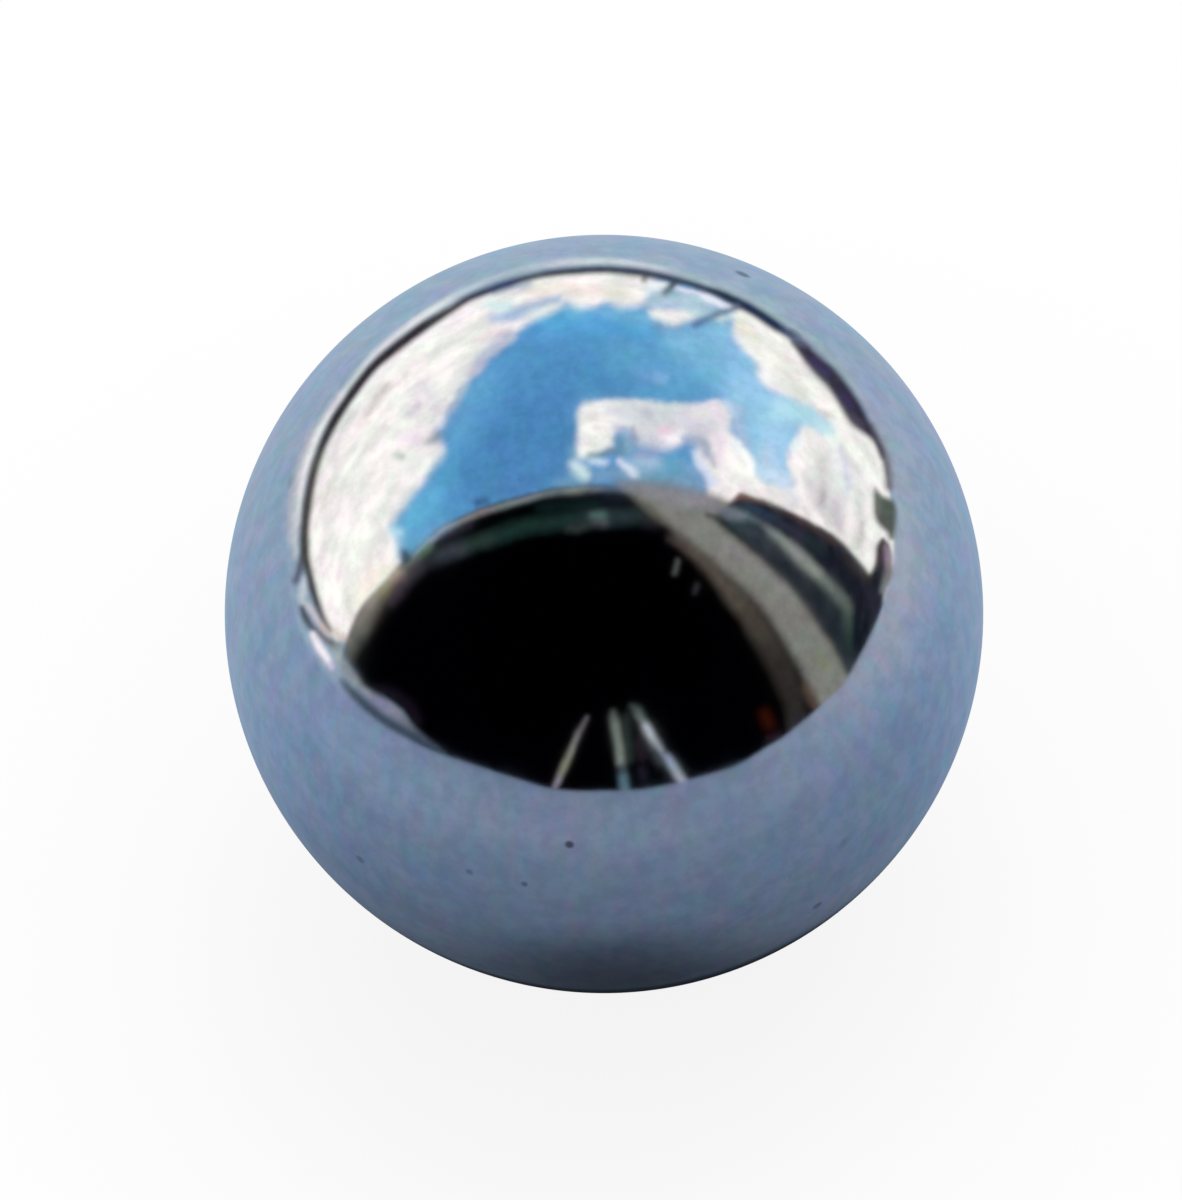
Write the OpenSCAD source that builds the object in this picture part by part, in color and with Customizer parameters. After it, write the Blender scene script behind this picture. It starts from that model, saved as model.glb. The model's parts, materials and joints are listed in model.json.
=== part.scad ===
// Steel ball: one solid, mirror-polished sphere.
// The origin is the ball's centre, +Z is up, and lengths are in millimetres.

/* [Ball] */
// Diameter of the ball across its polished surface
ball_d = 25; // [3:0.5:100]

/* [Finish] */
// Colour of the bare polished steel, as red, green and blue shares
steel_colour = [0.74, 0.76, 0.79];

/* [Hidden] */

// Sides of the preview's round outline; the surface itself is a true sphere
preview_sides = 180;

module ball() {
    color(steel_colour)
        sphere(d = ball_d, $fn = preview_sides);
}

ball();
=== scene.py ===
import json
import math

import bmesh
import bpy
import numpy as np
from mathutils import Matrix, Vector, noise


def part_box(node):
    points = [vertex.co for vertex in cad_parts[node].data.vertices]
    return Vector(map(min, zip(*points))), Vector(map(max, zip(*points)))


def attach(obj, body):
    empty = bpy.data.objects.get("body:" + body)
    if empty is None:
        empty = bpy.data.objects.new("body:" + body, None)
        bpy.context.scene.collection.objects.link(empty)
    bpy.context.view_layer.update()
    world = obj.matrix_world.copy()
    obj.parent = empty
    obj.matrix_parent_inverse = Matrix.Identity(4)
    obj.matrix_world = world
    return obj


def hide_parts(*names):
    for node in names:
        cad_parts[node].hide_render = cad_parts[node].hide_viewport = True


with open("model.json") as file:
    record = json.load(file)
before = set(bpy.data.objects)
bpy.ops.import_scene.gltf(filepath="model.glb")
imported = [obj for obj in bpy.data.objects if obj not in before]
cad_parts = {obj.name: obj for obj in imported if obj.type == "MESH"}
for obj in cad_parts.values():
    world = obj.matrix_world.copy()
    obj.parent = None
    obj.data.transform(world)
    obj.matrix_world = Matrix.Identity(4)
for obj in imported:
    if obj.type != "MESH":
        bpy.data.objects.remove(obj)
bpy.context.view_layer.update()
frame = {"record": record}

# A mirror-polished steel ball. It shows what stands around it, so most of this script is the set: a pale
# floor, a soft lamp, a blue-grey mat with painted shade and sheen, and painted sheets for the sky and what
# stands before it, which give off the light they are painted with, light and shade of the surroundings
# included. The camera sees the floor and the ball. The mat and the sheets show only in the steel.
# Lengths are in metres, in the frame of the CAD part: the origin is the ball's centre, and +Z is up.
# A place on the ball's face is (across, up) in hundredths of its radius, as the camera sees it.

RADIUS = (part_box("ball")[1].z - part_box("ball")[0].z) / 2
TINY = 1e-9  # keeps divisions away from zero

# Picture: its size, and where the ball's outline lies in it
PICTURE_WIDTH, PICTURE_HEIGHT = 1182, 1200
BALL_CENTRE_PX = (604, 614)
BALL_RADIUS_PX = 379.3
SENSOR_MM = 36

# Camera
CAMERA_ELEVATION = math.radians(50)
CAMERA_ROLL = math.radians(-6)
CAMERA_RADII = 24  # its distance from the ball's centre, in radii of the ball
CAMERA_DISTANCE = CAMERA_RADII * RADIUS
CAMERA_CLIP = (0.01, 10)

towards_camera = np.array([0, -math.cos(CAMERA_ELEVATION), math.sin(CAMERA_ELEVATION)])
level = np.array([1.0, 0, 0])
steep = np.cross(towards_camera, level)
across_axis = math.cos(CAMERA_ROLL) * level + math.sin(CAMERA_ROLL) * steep
up_axis = -math.sin(CAMERA_ROLL) * level + math.cos(CAMERA_ROLL) * steep

# Light
LAMP_ELEVATION, LAMP_AZIMUTH = math.radians(60), math.radians(70)
LAMP_DISTANCE, LAMP_SIZE, LAMP_POWER = 1.0, 1.2, 5.9
WORLD_STRENGTH = 0.5

# Steel: its colour, two tints of it for stains, and specks as ((across, up), width in radii, strength)
slot = frame["record"]["materials"][0]
STEEL = tuple(slot["base_color"])
STEEL_WARM = tuple(c * t for c, t in zip(STEEL, (1.032, 0.974, 1.02)))
STEEL_COOL = tuple(c * t for c, t in zip(STEEL, (0.968, 1.026, 0.986)))
STAIN_SCALE, BLOOM_SCALE, SMEAR_SCALE = 1000, 1600, 260
NOISE_MIDDLE = (0.35, 0.65)  # where most of a noise's values lie
BLOOM = (0.94, 1.06)
ROUGHNESS = (0.05, 0.09)
SPECKS = [
    ((-9.1, -60.8), 0.017, 0.7), ((-21, -71.2), 0.013, 0.45), ((56.2, -76.9), 0.022, 0.5),
    ((36.6, 89.6), 0.03, 0.7), ((-64.2, -64.7), 0.02, 0.35), ((-35.5, -68), 0.015, 0.3),
    ((13.2, -57.8), 0.02, 0.15)]
SPECK_CORE = 0.3  # share of a speck's width that is fully dark
GRIT_SCALE = 420
GRIT_STRENGTH = 0.3
GRIT_CHOSEN = (0.86, 1)  # a cell holds a speck where its lot falls in here
GRIT_DOT = (0.05, 0.16)

# Floor
FLOOR_RADIUS = 3.0
FLOOR_SIDES = 96
FLOOR_MATT = (0.95, 0.95, 0.95, 1)
FLOOR_SHADOW = (1.2 * RADIUS, 3 * RADIUS)  # how far from the ball's centre its shadow fades out
FLOOR_WHITE = (0.88, 1)  # share of plain white near the ball and far off

# Mat: its colours as the steel shows them, painted shade and sheen included, how they spread, and the
# painted shade and shadow of the ball on it
MAT_LIFT = 0.00005
MAT_FADE = 0.8  # how far its edge fades to either side, in hundredths
# The front colour is darker with painted shade and a painted reflection of the canopy; the back colour is
# lighter with a painted sheen of the sky
MAT_FRONT_SHADED, MAT_SIDE, MAT_BACK_SHEEN, MAT_RIGHT = (118, 134, 160), (132, 155, 187), (154, 176, 200), (158, 169, 187)
MAT_RIGHT_SPREAD = (2.5 * RADIUS, 8 * RADIUS)
MAT_MIDDLE = 0.001  # within this reach its pattern stays as it is there
# Painted shade of the ball on the mat's front: its tint, the reaches over which it sets in and fades out,
# and the side it lies on
BALL_SHADE_TINT = (0.76, 0.8, 0.83, 1)
BALL_SHADE_FROM, BALL_SHADE_TO = (0.95 * RADIUS, 1.3 * RADIUS), (2.2 * RADIUS, 4.5 * RADIUS)
BALL_SHADE_SIDE = (-0.5, 0.4)
# Painted shadow round the place where the ball rests, and a deeper painted shadow close round its foot
CONTACT_SHADOW_PLACE = (-0.1 * RADIUS, -0.92 * RADIUS, -RADIUS)
CONTACT_SHADOW_FADE, CONTACT_SHADOW_DEPTH = (0.1 * RADIUS, 0.75 * RADIUS), 0.55
FOOT_SHADOW_FADE, FOOT_SHADOW_DEPTH = (0.62 * RADIUS, 0.8 * RADIUS), 0.75
BLOTCH_SCALE = 14
BLOTCH_STRENGTH = (0.8, 0.4, 0.3)

# Painted sheets: how far off and how finely they are hung, and how their paint varies
SET_REACH = 2.0
LAYER_GAP = 0.02
SHEET_LIFT = 0.00001
SHEET_CELL = 0.5
SHEET_LIMIT = 97
SHEET_BARE = 0.002  # less paint than this counts as none
PATH_STEPS = 6
RIPPLE, RIPPLE_SLICES = 0.22, (0.3, 20.6)
STREAK_WIDTH = 2.6
STREAK_TURNS = 6.0
STREAK_DEPTH = 0.9
MOTTLE, MOTTLE_SLICES = 0.6, (7.3, 27.6, 47.4)
MOTTLE_STRENGTH = 0.1


# ---- colour ----

def linear(colour):
    """A screen colour, 0 to 255, as linear light."""
    shares = np.array(colour) / 255
    return np.where(shares <= 0.04045, shares / 12.92, ((shares + 0.055) / 1.055) ** 2.4)


def mirrored(colour):
    """The light that shows as this screen colour once the steel mirrors it. Rows of colours work too."""
    return linear(colour) / np.array(STEEL)


def rgba(colour):
    return (*[float(x) for x in colour], 1.0)


def smoothstep(share):
    share = np.clip(share, 0, 1)
    return share * share * (3 - 2 * share)


# ---- the mirror ----

def mirrored_rays(places):
    """For each place on the ball's face: its point on the steel, and the way the camera's ray leaves it."""
    places = np.atleast_2d(np.array(places, float))[:, :2] / 100
    spread = 1 / math.sqrt(CAMERA_RADII**2 - 1)
    rays = spread * (places[:, :1] * across_axis + places[:, 1:] * up_axis) - towards_camera
    rays /= np.linalg.norm(rays, axis=1, keepdims=True)
    start = CAMERA_DISTANCE * towards_camera
    middle = -rays @ start
    short_of = np.sqrt(np.maximum(middle**2 - start @ start + RADIUS**2, 0))
    points = start + (middle - short_of)[:, None] * rays
    normals = points / np.linalg.norm(points, axis=1, keepdims=True)
    away = rays - 2 * np.sum(rays * normals, axis=1, keepdims=True) * normals
    return points, away


def on_set(places, layer):
    """Where each place's mirrored ray meets the set: high up, or low down on the floor. Higher layers are
    nearer."""
    points, away = mirrored_rays(places)
    to_floor = (points[:, 2] + RADIUS - SHEET_LIFT * layer) / np.maximum(-away[:, 2], TINY)
    reach = np.minimum(SET_REACH * (1 - LAYER_GAP * layer), to_floor)
    return points + reach[:, None] * away


# ---- materials ----

class Nodes:
    """Makes and links shader nodes. An input is a number, a colour or another node's output."""

    def __init__(self, tree):
        self.tree = tree
        tree.nodes.clear()

    def make(self, kind, *values, settings=None, **inputs):
        """A node, with its inputs in order or by name."""
        node = self.tree.nodes.new("ShaderNode" + kind)
        for name, value in (settings or {}).items():
            setattr(node, name, value)
        for index, value in enumerate(values):
            self.feed(node.inputs[index], value)
        for name, value in inputs.items():
            self.feed(node.inputs[name.replace("_", " ")], value)
        return node

    def feed(self, socket, value):
        if isinstance(value, bpy.types.NodeSocket):
            self.tree.links.new(value, socket)
        else:
            socket.default_value = value

    def math(self, operation, *values, clamp=False):
        settings = {"operation": operation, "use_clamp": clamp}
        return self.make("Math", *values, settings=settings).outputs[0]

    def vector(self, operation, *values, result="Vector"):
        return self.make("VectorMath", *values, settings={"operation": operation}).outputs[result]

    def spread(self, value, low, high, to_low=0.0, to_high=1.0, smooth=True):
        """The value's place between low and high, as one between the other two."""
        settings = {"interpolation_type": "SMOOTHSTEP" if smooth else "LINEAR"}
        return self.make("MapRange", value, low, high, to_low, to_high, settings=settings).outputs["Result"]

    def mix_colour(self, share, first, second, blend="MIX"):
        node = self.make("Mix", share, settings={"data_type": "RGBA", "blend_type": blend})
        colour_a, colour_b = node.inputs[6], node.inputs[7]
        self.feed(colour_a, first)
        self.feed(colour_b, second)
        return node.outputs[2]

    def mix_shader(self, share, first, second):
        return self.make("MixShader", share, first.outputs[0], second.outputs[0])

    def noise(self, where, scale, detail=2.0, roughness=0.5, result="Fac"):
        node = self.make("TexNoise", Vector=where, Scale=scale, Detail=detail, Roughness=roughness)
        return node.outputs[result]

    def seen(self):
        """1 for rays from the eye, from a mirror or through glass, and 0 for those that light the object."""
        path = self.make("LightPath").outputs
        seen = self.math("ADD", path["Is Camera Ray"], path["Is Glossy Ray"])
        return self.math("ADD", seen, path["Is Transmission Ray"], clamp=True)


def new_material(name):
    material = bpy.data.materials.new(name)
    material.use_nodes = True
    return material, Nodes(material.node_tree)


def steel_material():
    """Lapped steel: a mirror with faint stains and smears, and a few dark specks of grit."""
    material, n = new_material("polished_steel")
    where = n.make("TexCoord").outputs["Object"]
    stains = n.spread(n.noise(where, STAIN_SCALE, 3, 0.55), *NOISE_MIDDLE)
    colour = n.mix_colour(stains, rgba(STEEL_WARM), rgba(STEEL_COOL))
    bloom = n.spread(n.noise(where, BLOOM_SCALE, 3, 0.6), *NOISE_MIDDLE, *BLOOM)
    speck = n.math("MULTIPLY", bloom, n.math("SUBTRACT", 1.0, grit(n, where)))
    for place, width, strength in SPECKS:
        gap = n.vector("DISTANCE", where, tuple(mirrored_rays([place])[0][0]), result="Value")
        clear = n.spread(gap, SPECK_CORE * width * RADIUS, width * RADIUS, 1 - strength, 1.0)
        speck = n.math("MULTIPLY", speck, clear)
    roughness = n.spread(n.noise(where, SMEAR_SCALE, 4, 0.6), 0.35, 0.7, *ROUGHNESS)
    colour = n.mix_colour(1.0, colour, speck, "MULTIPLY")
    steel = n.make("BsdfPrincipled", Metallic=1.0, Roughness=roughness, Base_Color=colour)
    n.make("OutputMaterial", steel.outputs[0])
    return material


def grit(n, where):
    """Sparse specks all over, as dark shares from 0 to 1: the middles of some cells of a Voronoi pattern."""
    cells = n.make("TexVoronoi", Vector=where, Scale=GRIT_SCALE).outputs
    lot = n.make("SeparateXYZ", cells["Color"]).outputs["X"]
    dot = n.spread(cells["Distance"], *GRIT_DOT, 1.0, 0.0)
    return n.math("MULTIPLY", n.math("MULTIPLY", dot, n.spread(lot, *GRIT_CHOSEN)), GRIT_STRENGTH)


def sheet_material():
    """Gives off the colour that is painted at each point, and lets through what the paint leaves bare."""
    material, n = new_material("sheet_light")
    tint = n.make("Attribute", settings={"attribute_name": "tint"}).outputs
    light = n.make("Emission", tint["Color"])
    clear = n.make("BsdfTransparent", n.math("SUBTRACT", 1.0, tint["Alpha"]))
    both = n.make("AddShader", light.outputs[0], clear.outputs[0])
    n.make("OutputMaterial", both.outputs[0])
    material.cycles.emission_sampling = "NONE"
    return material


def mat_material():
    """A blotchy blue-grey painted board. Its far side is lighter with a painted sheen of the sky, its front
    darker with painted shade, and its right is paler. Painted shade of the ball darkens it in front of the
    ball, and a painted shadow lies round the place where the ball rests."""
    material, n = new_material("mat_paint")
    where = n.make("TexCoord").outputs["Object"]
    parts = n.make("SeparateXYZ", where).outputs
    reach = n.vector("LENGTH", n.vector("MULTIPLY", where, (1, 1, 0)), result="Value")
    reach = n.math("MAXIMUM", reach, MAT_MIDDLE)
    backward = n.math("DIVIDE", parts["Y"], reach)
    front, side, back, right = [rgba(mirrored(c)) for c in (MAT_FRONT_SHADED, MAT_SIDE, MAT_BACK_SHEEN, MAT_RIGHT)]
    colour = n.mix_colour(n.spread(parts["X"], *MAT_RIGHT_SPREAD), side, right)
    colour = n.mix_colour(n.spread(backward, -1, 0, smooth=False), front, colour)
    colour = n.mix_colour(n.spread(backward, 0, 1, smooth=False), colour, back)
    # Painted shade of the ball, on the front of the mat
    ball_shade = n.math("MULTIPLY", n.spread(reach, *BALL_SHADE_FROM), n.spread(reach, *BALL_SHADE_TO, 1.0, 0.0))
    ball_shade = n.math("MULTIPLY", ball_shade, n.spread(backward, *BALL_SHADE_SIDE, 1.0, 0.0))
    colour = n.mix_colour(ball_shade, colour, BALL_SHADE_TINT, "MULTIPLY")
    colour = n.mix_colour(1.0, colour, blotches(n, where, reach), "MULTIPLY")
    # Painted shadow round the ball's foot
    contact_shadow = n.spread(n.vector("DISTANCE", where, CONTACT_SHADOW_PLACE, result="Value"), *CONTACT_SHADOW_FADE, CONTACT_SHADOW_DEPTH, 0.0)
    contact_shadow = n.math("MAXIMUM", contact_shadow, n.spread(reach, *FOOT_SHADOW_FADE, FOOT_SHADOW_DEPTH, 0.0))
    paint = n.make("BsdfDiffuse", n.mix_colour(contact_shadow, colour, (0, 0, 0, 1)))
    solid = n.make("Attribute", settings={"attribute_name": "solid"}).outputs["Fac"]
    faded = n.mix_shader(n.spread(solid, 0, 1), n.make("BsdfTransparent"), paint)
    n.make("OutputMaterial", faded.outputs[0])
    return material


def blotches(n, where, reach):
    """Colours about 1 to multiply by. They grow with the reach, so that the steel shows them at one size."""
    evened = n.vector("DIVIDE", n.vector("MULTIPLY", where, (1, 1, 0.5)), reach)
    tints = n.noise(evened, BLOTCH_SCALE, 4, 0.6, "Color")
    return n.vector("MULTIPLY_ADD", tints, BLOTCH_STRENGTH, [1 - s / 2 for s in BLOTCH_STRENGTH])


def floor_material():
    """A white floor. It keeps a soft shadow near the ball, and is plain white to the eye and the mirror far
    off."""
    material, n = new_material("floor_white")
    reach = n.vector("LENGTH", n.make("TexCoord").outputs["Object"], result="Value")
    plain = n.math("MULTIPLY", n.seen(), n.spread(reach, *FLOOR_SHADOW, *FLOOR_WHITE))
    soft = n.mix_shader(plain, n.make("BsdfDiffuse", FLOOR_MATT), n.make("Emission", (1, 1, 1, 1), 1.0))
    n.make("OutputMaterial", soft.outputs[0])
    material.cycles.emission_sampling = "NONE"
    return material


# ---- meshes ----

def add_object(name, points, faces, material):
    mesh = bpy.data.meshes.new(name)
    mesh.from_pydata([tuple(map(float, p)) for p in points], [], [tuple(map(int, f)) for f in faces])
    mesh.materials.append(material)
    return link(bpy.data.objects.new(name, mesh))


def link(thing):
    bpy.context.scene.collection.objects.link(thing)
    return thing


def give(thing, name, kind, field, values):
    """Gives each point of a mesh a number or a colour that its material reads."""
    attribute = thing.data.attributes.new(name, kind, "POINT")
    attribute.data.foreach_set(field, np.array(values, np.float32).ravel())


def only_in_steel(thing):
    """The steel mirrors this stage piece; nothing else sees it, and it throws no shadow."""
    for ray in ("camera", "diffuse", "transmission", "volume_scatter", "shadow"):
        setattr(thing, "visible_" + ray, False)


def smoothed(path, closed=False):
    """Catmull-Rom through a path's points, in short steps."""
    path = np.array(path, float)
    if closed:
        ends = np.vstack([path[-1], path, path[:2]])
    else:
        ends = np.vstack([2 * path[0] - path[1], path, 2 * path[-1] - path[-2]])
    fine = []
    for before, start, stop, after in zip(ends, ends[1:], ends[2:], ends[3:]):
        t = np.linspace(0, 1, PATH_STEPS, endpoint=False)[:, None]
        fine.append(0.5 * (2 * start + (stop - before) * t
                           + (2 * before - 5 * start + 4 * stop - after) * t**2
                           + (3 * start - before - 3 * stop + after) * t**3))
    return np.vstack(fine) if closed else np.vstack([*fine, path[-1:]])


class Canvas:
    """A sheet of the set, painted in strokes that lie over one another. Places are hundredths, as above."""

    def __init__(self, left, right, low, high, wobble=0.25, ground=None):
        across = np.arange(left, right, SHEET_CELL)
        up = np.arange(low, high, SHEET_CELL)
        self.rows, self.columns = len(up), len(across)
        self.places = np.stack(np.meshgrid(across, up), axis=-1).reshape(-1, 2)
        self.paint = np.zeros((len(self.places), 4))
        self.frayed = self.places + wobble * self.ripples(RIPPLE, 3, RIPPLE_SLICES)
        self.streaks = self.round_streaks()
        self.on_paint = False
        if ground is not None:
            self.lay(ground, np.ones(len(self.places)))

    def ripples(self, scale, depth, slices):
        """Random numbers about 0 at each place, one from each slice of a noise. Unlike the noise module's
        vectors, they are the same on each run."""
        return np.array([[noise.turbulence((a * scale, b * scale, c), depth, False) for c in slices]
                         for a, b in self.places])

    def round_streaks(self):
        """Random streaks from 0 to 1 that run round the ball's face, as all that its rim mirrors does."""
        radius = np.hypot(*self.places.T)
        rounds = self.places / np.maximum(radius, 1)[:, None] * STREAK_TURNS
        points = np.column_stack([radius / STREAK_WIDTH, rounds])
        return smoothstep(0.5 + STREAK_DEPTH * np.array([noise.fractal(p, 1.0, 2.0, 3) for p in points]))

    def near(self, path, reach):
        """The places within reach of a path's own box."""
        inside = (self.frayed > path.min(axis=0) - reach) & (self.frayed < path.max(axis=0) + reach)
        return np.flatnonzero(inside.all(axis=1))

    def lay(self, colour, cover, where=slice(None), streak=None):
        """Lays a colour, or one for each place, over what is there. A second one shows in streaks."""
        light = mirrored(colour) * np.ones((len(cover), 1))
        if streak is not None:
            light += self.streaks[where, None] * (mirrored(streak) - light)
        paint = np.column_stack([light, np.ones(len(cover))])
        self.paint[where] += cover[:, None] * (paint - self.paint[where])

    def fill(self, outline, colour, edge, outside=False, streak=None):
        """Paints inside a closed outline, or outside it. The paint fades over the width of the edge."""
        outline = smoothed(outline, closed=True)
        where = np.arange(len(self.frayed)) if outside else self.near(outline, edge)
        x, y = self.frayed[where].T
        inside = np.zeros(len(x), bool)
        nearest = np.full(len(x), np.inf)
        for (ax, ay), (bx, by) in zip(outline, np.roll(outline, -1, axis=0)):
            crossed = (ay > y) != (by > y)
            inside ^= crossed & (x < ax + (y - ay) / (by - ay or TINY) * (bx - ax))
            share = ((x - ax) * (bx - ax) + (y - ay) * (by - ay)) / max((bx - ax)**2 + (by - ay)**2, TINY)
            share = np.clip(share, 0, 1)
            nearest = np.minimum(nearest, np.hypot(x - ax - share * (bx - ax), y - ay - share * (by - ay)))
        depth = np.where(inside != outside, nearest, -nearest)
        self.lay(colour, smoothstep(0.5 + depth / edge), where, streak)

    def brush(self, colour, edge, strength, path):
        """Paints a stroke. Its parts are told above SKY_STROKES."""
        points = []
        for point in path:
            colour = point[3:] or colour
            points.append((*point[:3], *colour))
        path = smoothed(points) if len(points) > 2 else np.array(points, float)
        where = self.near(path[:, :2], path[:, 2].max() + edge)
        places = self.frayed[where]
        depth = np.full(len(places), -np.inf)
        tone = np.zeros((len(places), 3))
        for start, stop in zip(path, path[1:]):
            along = stop[:2] - start[:2]
            share = np.clip((places - start[:2]) @ along / max(along @ along, TINY), 0, 1)
            line = start + share[:, None] * (stop - start)
            inside = line[:, 2] - np.linalg.norm(places - line[:, :2], axis=1)
            deeper = inside > depth
            depth[deeper] = inside[deeper]
            tone[deeper] = line[deeper, 3:]
        if self.on_paint:
            strength = strength * self.paint[where, 3]
        self.lay(tone, strength * smoothstep(0.5 + depth / edge), where)

    def brush_all(self, strokes):
        for stroke in strokes:
            self.brush(*stroke)

    def mottle(self):
        """Slight patchy changes of colour all over, so that no wash of paint is flat."""
        tints = self.ripples(MOTTLE, 2, MOTTLE_SLICES)
        tints += tints.sum(axis=1)[:, None]
        depth = np.clip(1 - np.sqrt(self.paint[:, :3]), 0.1, 1)
        self.paint[:, :3] *= np.clip(1 + MOTTLE_STRENGTH * depth * tints, 0, 2)

    def hang(self, name, layer):
        """Puts the painted sheet where the camera sees it in the steel."""
        self.mottle()
        corner = np.arange((self.rows - 1) * self.columns).reshape(self.rows - 1, -1)[:, :-1].ravel()
        faces = corner[:, None] + np.array([0, 1, self.columns + 1, self.columns])
        on_ball = np.hypot(*self.places.T) < SHEET_LIMIT
        painted = self.paint[:, 3] > SHEET_BARE
        faces = faces[on_ball[faces].all(axis=1) & painted[faces].any(axis=1)]
        # All cut along the same diagonal, so that a sheet behind never shows through one before it
        used, faces = np.unique(faces[:, [0, 1, 2, 0, 2, 3]], return_inverse=True)
        sheet = add_object(name, on_set(self.places[used], layer), faces.reshape(-1, 3), SHEET_MATERIAL)
        give(sheet, "tint", "FLOAT_COLOR", "color", self.paint[used])
        only_in_steel(sheet)


# ---- the ball ----

BALL_CELLS = 64  # cells along each side of the six patches that make the ball


def make_ball(material):
    """Six square patches swelled to a true sphere, so that the cells are even all over, with no poles."""
    shape = bmesh.new()
    bmesh.ops.create_cube(shape, size=2)
    bmesh.ops.subdivide_edges(shape, edges=shape.edges[:], cuts=BALL_CELLS - 1, use_grid_fill=True)
    for vertex in shape.verts:
        spread = Vector(math.tan(c * math.pi / 4) for c in vertex.co)
        vertex.co = spread.normalized() * RADIUS
    mesh = bpy.data.meshes.new("ball_surface")
    shape.to_mesh(mesh)
    shape.free()
    mesh.shade_smooth()
    mesh.normals_split_custom_set_from_vertices([v.co.normalized() for v in mesh.vertices])
    mesh.materials.append(material)
    ball = link(bpy.data.objects.new("polished_ball", mesh))
    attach(ball, "root")
    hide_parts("ball")


# ---- the set ----

# The horizon, all round. Outside it lies the ground.
SKYLINE = [
    (-79, 19), (-79.2, 24), (-78.5, 30), (-77.3, 35), (-76, 40), (-74.2, 45), (-72, 50), (-68.7, 55),
    (-65, 60.5), (-60.5, 66), (-55, 71), (-50, 74.8), (-45, 78.3), (-39, 82), (-33, 84.8), (-25, 87.6),
    (-18, 89.3), (-10, 90.5), (0, 91), (8, 90.3), (15, 89), (22, 87.3), (29, 85), (35, 82.3), (40, 79.8),
    (45, 76.7), (50, 73), (55, 69), (60, 63.5), (64.5, 58), (68, 52), (71, 47), (73.3, 42), (74.6, 36),
    (76, 26), (76.5, 20), (76, 12), (74, 4), (70.5, -6), (65.5, -15), (57, -25), (49, -31.5), (39, -38),
    (25, -43), (10, -46.3), (-5, -46.5), (-18, -44), (-30, -38), (-39, -33), (-46, -27.5), (-51, -22.5),
    (-56, -18), (-60.5, -14), (-64, -9.5), (-68.5, -7.3), (-71, -6.5), (-73.3, -2.5), (-75, 1), (-76, 5),
    (-77.3, 10), (-78.9, 15)
]
MAT_EDGE = [
    (0, 94.5), (12, 93), (24, 90.5), (35, 86.5), (45, 81), (54.5, 74.5), (63, 66), (69, 58), (73.5, 50),
    (76, 42), (77.5, 33), (78, 24), (77.3, 14), (74.9, 5), (70.7, -5), (66.5, -13), (63.3, -18.3),
    (57.8, -23.7), (54.7, -26.6), (50.8, -29.8), (47, -32.8), (43, -35.2), (38, -38.4), (34, -40.4),
    (30, -41.7), (24, -43.4), (17, -45.2), (8, -46.6), (0, -46.8), (-8, -46.8), (-15, -46), (-20, -44.6),
    (-29, -41.8), (-38, -38.8), (-43, -37.2), (-48, -35.2), (-52, -33.3), (-56.5, -31), (-60.5, -28.2),
    (-64, -25.2), (-67.5, -22), (-71, -18.5), (-74, -15), (-77, -10.5), (-79.8, -5.5), (-82, 1), (-83.3, 8),
    (-84, 18), (-84, 28), (-82, 38), (-78.5, 48), (-72.5, 57.5), (-65, 66.5), (-56, 74.5), (-46, 81.5),
    (-36, 87), (-24, 91.5), (-12, 94)
]


def make_floor():
    turns = np.linspace(0, math.tau, FLOOR_SIDES, endpoint=False)
    rim = [(FLOOR_RADIUS * math.cos(a), FLOOR_RADIUS * math.sin(a), -RADIUS) for a in turns]
    floor = add_object("floor", rim, [range(FLOOR_SIDES)], floor_material())


def make_mat():
    """A fan round the ball's foot, as far as the mat is solid, and a strip round that where it fades out."""
    edge = smoothed(MAT_EDGE, closed=True)
    along = np.roll(edge, -1, axis=0) - np.roll(edge, 1, axis=0)
    off = np.column_stack([-along[:, 1], along[:, 0]]) * MAT_FADE / np.hypot(*along.T)[:, None]
    points, away = mirrored_rays(np.vstack([edge + off, edge - off]))
    reach = (points[:, 2] + RADIUS - MAT_LIFT) / -away[:, 2]
    middle = (0, 0, MAT_LIFT - RADIUS)
    count = len(edge)
    corners = [(i + 1, (i + 1) % count + 1) for i in range(count)]
    faces = [(0, a, b) for a, b in corners] + [(a, a + count, b + count, b) for a, b in corners]
    mat = add_object("mat", [middle, *(points + reach[:, None] * away)], faces, mat_material())
    give(mat, "solid", "FLOAT", "value", [1] * (count + 1) + [0] * count)
    only_in_steel(mat)


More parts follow.
